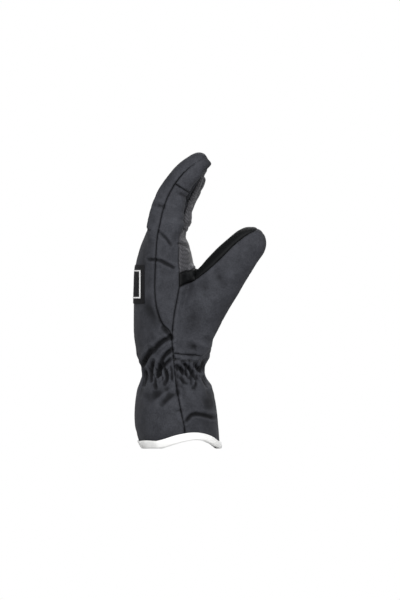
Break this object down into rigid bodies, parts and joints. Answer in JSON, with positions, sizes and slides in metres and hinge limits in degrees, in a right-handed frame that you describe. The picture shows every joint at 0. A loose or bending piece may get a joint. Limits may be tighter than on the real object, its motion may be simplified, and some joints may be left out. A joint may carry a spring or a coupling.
{
  "type": "ski glove",
  "caption": "Padded left-hand ski glove with curled fingers, leather thumb crotch, gathered elastic wrist and flared cuff with a bound hem.",
  "frame": {"origin": "centre of the bounding box at its bottom, on the plane of the hem's lowest places", "axes": "+Z from the hem to the fingertips, +X towards the palm side, -Y towards the thumb side"},
  "size_m": [0.1238, 0.1082, 0.2801],
  "materials": {
    "shell_fabric": "charcoal woven softshell, fine twill weave, matt with a soft sheen",
    "grip_fabric": "textured grey palm grip fabric",
    "black_leather": "smooth black synthetic leather",
    "label_weave": "black woven patch with a plain border",
    "white_binding": "white folded binding tape",
    "elastic_tape": "black woven elastic",
    "wadding": "off-white fibre wadding",
    "membrane": "thin waterproof film",
    "lining_fleece": "dark brushed fleece lining"
  },
  "bodies": {
    "root": {"back_panel": "shell_fabric", "index_side_strip": "shell_fabric", "index_tip_cap": "shell_fabric", "fourchette_index_middle": "shell_fabric", "fourchette_middle_ring": "shell_fabric", "fourchette_ring_little": "shell_fabric", "thumb_shell": "shell_fabric", "palm_cuff_panel": "shell_fabric", "palm_panel": "grip_fabric", "thumb_leather": "black_leather", "thumb_crotch": "black_leather", "label_patch": "label_weave", "hem_binding": "white_binding", "wrist_elastic": "elastic_tape", "wadding_hand": "wadding", "wadding_index": "wadding", "wadding_middle": "wadding", "wadding_ring": "wadding", "wadding_little": "wadding", "wadding_thumb": "wadding", "wadding_cuff": "wadding", "waterproof_insert": "membrane", "lining_glove": "lining_fleece", "lining_cuff": "lining_fleece"}
  },
  "joints": []
}
